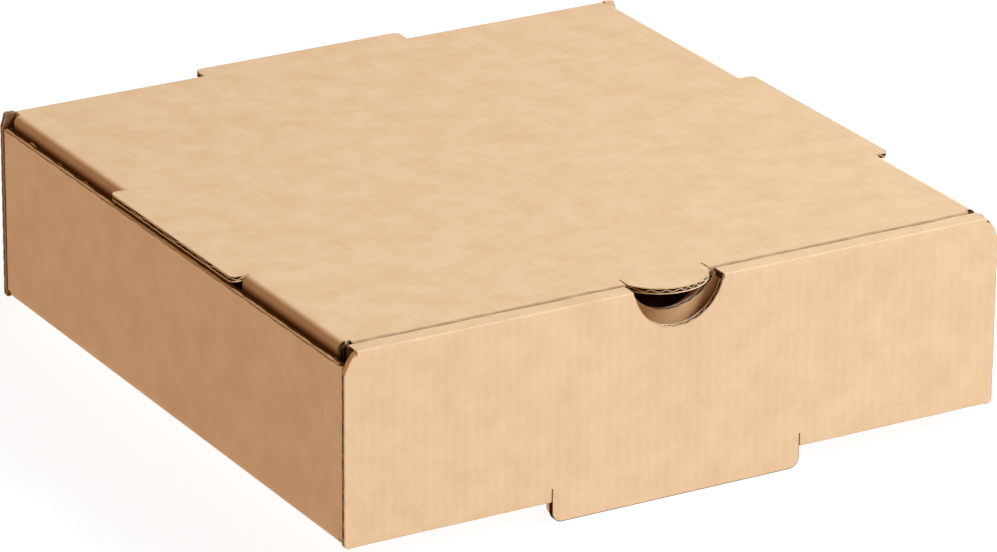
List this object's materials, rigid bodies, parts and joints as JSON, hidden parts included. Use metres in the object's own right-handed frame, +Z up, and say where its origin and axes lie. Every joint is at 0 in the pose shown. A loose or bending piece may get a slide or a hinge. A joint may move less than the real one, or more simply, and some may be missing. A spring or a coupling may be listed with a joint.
{
  "type": "pizza box",
  "caption": "Shallow square folded box of plain kraft corrugated board with a hinged lid, rolled-over front wall and half-round thumb tab, for carrying a pizza.",
  "frame": {"origin": "centre of the underside of the tray's floor", "axes": "+X to the right along the front wall, +Y from the front wall to the hinge, +Z up through the lid"},
  "size_m": [0.2106, 0.2175, 0.063],
  "materials": {
    "kraft_board": "matte uncoated kraft"
  },
  "bodies": {
    "tray": {"tray": "kraft_board"},
    "lid": {"lid": "kraft_board"}
  },
  "joints": [
    {"name": "lid_hinge", "type": "hinge", "parent": "tray", "child": "lid", "pos_m": [0, 0.10415, 0.05615], "axis": [-1, 0, 0], "range_deg": [0, 180]}
  ]
}
